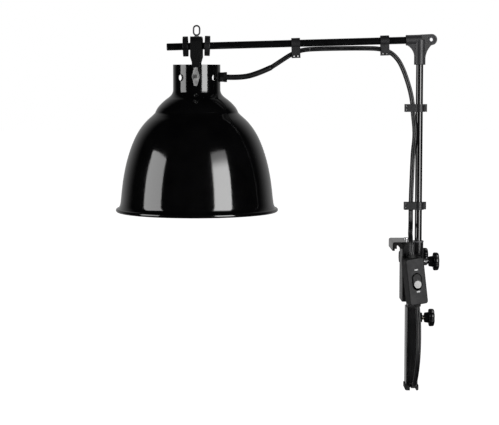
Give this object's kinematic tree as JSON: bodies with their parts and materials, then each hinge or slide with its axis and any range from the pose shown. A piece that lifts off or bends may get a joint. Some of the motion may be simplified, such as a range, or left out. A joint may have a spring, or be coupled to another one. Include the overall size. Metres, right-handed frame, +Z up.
{
  "type": "grow lamp",
  "caption": "Clamp-on grow lamp: a deep black reflector on a tilting bail under a tube arm, with a swivel pole, rim clamp, sliding leg and in-line switch.",
  "frame": {"origin": "middle of the roof of the clamp's rubber groove, where the top edge of the tank or pot rim sits", "axes": "+X from the lamp towards the pole, -Y towards the front, where the switch and its rocker face, +Z up along the pole"},
  "size_m": [0.4276, 0.216, 0.4861],
  "materials": {
    "black_plastic": "satin black",
    "black_steel": "black zinc",
    "brass": "turned",
    "bush": "plain bearing grey",
    "ceramic": "glazed white",
    "cord": "satin flex jacket",
    "glass": "frosted",
    "gloss_plastic": "gloss black",
    "moulding_grey": "satin dark grey",
    "plated_steel": "bright zinc",
    "reflector_black": "gloss black outside, white inside",
    "rubber": "matt",
    "tube_black": "gloss black"
  },
  "bodies": {
    "clamp": {"clamp_body": "black_plastic", "hook_jaw": "black_steel", "hook_pad": "rubber", "hook_screws": "plated_steel", "clamp_nuts": "plated_steel", "sleeve_bush": "bush", "switch_base": "black_plastic", "switch_cover": "black_plastic", "switch_screws": "plated_steel", "switch_grommets": "rubber", "lamp_lead_end": "cord", "lead_hank": "cord", "hank_tie": "rubber", "plug_body": "black_plastic", "plug_pins": "brass"},
    "pole": {"pole_tube": "tube_black", "elbow": "moulding_grey", "elbow_eyelet": "black_steel", "arm_tube": "tube_black", "arm_end_plug": "moulding_grey", "arm_cord_clips": "moulding_grey", "pole_cord_clips": "moulding_grey", "lamp_lead_run": "cord"},
    "left_stop": {"stop_collar_left": "moulding_grey"},
    "right_stop": {"stop_collar_right": "moulding_grey"},
    "bail": {"bail_strap": "tube_black", "pivot_washers": "black_steel", "lamp_lead_start": "cord", "lead_heat_sleeve": "cord"},
    "eye": {"eye_ring": "black_steel", "eye_nut": "black_steel"},
    "lamp_head": {"reflector_shade": "reflector_black", "neck_cap": "reflector_black", "socket_bracket": "plated_steel", "lampholder_body": "ceramic", "lampholder_shell": "brass", "lampholder_contact": "brass", "lampholder_screws": "plated_steel", "pivot_studs": "black_steel", "pivot_nuts": "plated_steel", "gland_body": "black_plastic", "gland_nut": "black_plastic"},
    "bulb_foot": {"bulb_contact": "brass"},
    "bulb": {"bulb_glass": "glass", "bulb_cap": "plated_steel"},
    "front_wing_nut": {"wing_nut_front": "black_steel"},
    "rear_wing_nut": {"wing_nut_rear": "black_steel"},
    "leg": {"leg_tube": "black_plastic", "leg_foot": "black_plastic", "lock_insert": "brass", "mains_lead": "cord"},
    "leg_lock": {"lock_knob": "black_plastic", "lock_stud": "plated_steel"},
    "front_pad": {"clamp_pad_front": "rubber"},
    "rear_pad": {"clamp_pad_rear": "rubber"},
    "front_screw": {"clamp_knob_front": "black_plastic", "clamp_stud_front": "plated_steel"},
    "rear_screw": {"clamp_knob_rear": "black_plastic", "clamp_stud_rear": "plated_steel"},
    "rocker": {"switch_rocker": "gloss_plastic"}
  },
  "joints": [
    {"name": "pole_swivel", "type": "hinge", "parent": "clamp", "child": "pole", "pos_m": [0.0284, 0, 0], "axis": [0, 0, 1], "range_deg": [-60, 60]},
    {"name": "left_stop_slide", "type": "slide", "parent": "pole", "child": "left_stop", "axis": [0.9996, 0, 0.0279], "range_m": [-0.018, 0]},
    {"name": "right_stop_slide", "type": "slide", "parent": "pole", "child": "right_stop", "axis": [0.9996, 0, 0.0279], "range_m": [0, 0.08]},
    {"name": "bail_swing", "type": "hinge", "parent": "pole", "child": "bail", "pos_m": [-0.2667, 0, 0.26186], "axis": [0.9996, 0, 0.0279], "range_deg": [-20, 20]},
    {"name": "eye_swivel", "type": "hinge", "parent": "bail", "child": "eye", "pos_m": [-0.2667, 0, 0.28216], "axis": [0, 0, 1], "continuous": true},
    {"name": "lamp_tilt", "type": "hinge", "parent": "bail", "child": "lamp_head", "pos_m": [-0.2667, 0, 0.22186], "axis": [0, 1, 0], "range_deg": [-28, 28]},
    {"name": "front_wing_turn", "type": "hinge", "parent": "lamp_head", "child": "front_wing_nut", "pos_m": [-0.2667, -0.04, 0.22186], "axis": [0, -1, 0], "continuous": true},
    {"name": "rear_wing_turn", "type": "hinge", "parent": "lamp_head", "child": "rear_wing_nut", "pos_m": [-0.2667, 0.04, 0.22186], "axis": [0, 1, 0], "continuous": true},
    {"name": "bulb_travel", "type": "slide", "parent": "lamp_head", "child": "bulb_foot", "axis": [0, 0, -1], "range_m": [0, 0.024]},
    {"name": "bulb_screw", "type": "hinge", "parent": "bulb_foot", "child": "bulb", "pos_m": [-0.2667, 0, 0.2], "axis": [0, 0, -1], "range_deg": [-10, 2390.2]},
    {"name": "leg_slide", "type": "slide", "parent": "clamp", "child": "leg", "axis": [0, 0, -1], "range_m": [0, 0.06]},
    {"name": "leg_lock_turn", "type": "hinge", "parent": "leg", "child": "leg_lock", "pos_m": [0.04, 0, -0.1], "axis": [1, 0, 0], "range_deg": [0, 720]},
    {"name": "front_pad_travel", "type": "slide", "parent": "clamp", "child": "front_pad", "axis": [-1, 0, 0], "range_m": [0, 0.009]},
    {"name": "rear_pad_travel", "type": "slide", "parent": "clamp", "child": "rear_pad", "axis": [-1, 0, 0], "range_m": [0, 0.009]},
    {"name": "front_screw_turn", "type": "hinge", "parent": "front_pad", "child": "front_screw", "pos_m": [0.03, -0.028, -0.0211], "axis": [-1, 0, 0], "range_deg": [-10, 3250]},
    {"name": "rear_screw_turn", "type": "hinge", "parent": "rear_pad", "child": "rear_screw", "pos_m": [0.03, 0.028, -0.0211], "axis": [-1, 0, 0], "range_deg": [-10, 3250]},
    {"name": "rocker_tip", "type": "hinge", "parent": "clamp", "child": "rocker", "pos_m": [0.02003, -0.05181, -0.0443], "axis": [0.9631, 0.2401, 0.1219], "range_deg": [0, 12]}
  ],
  "couplings": [
    {"joint": "bulb_screw", "follows": "bulb_travel", "rad_per_m": 1730.9},
    {"joint": "front_screw_turn", "follows": "front_pad_travel", "rad_per_m": 6283.2},
    {"joint": "rear_screw_turn", "follows": "rear_pad_travel", "rad_per_m": 6283.2}
  ]
}
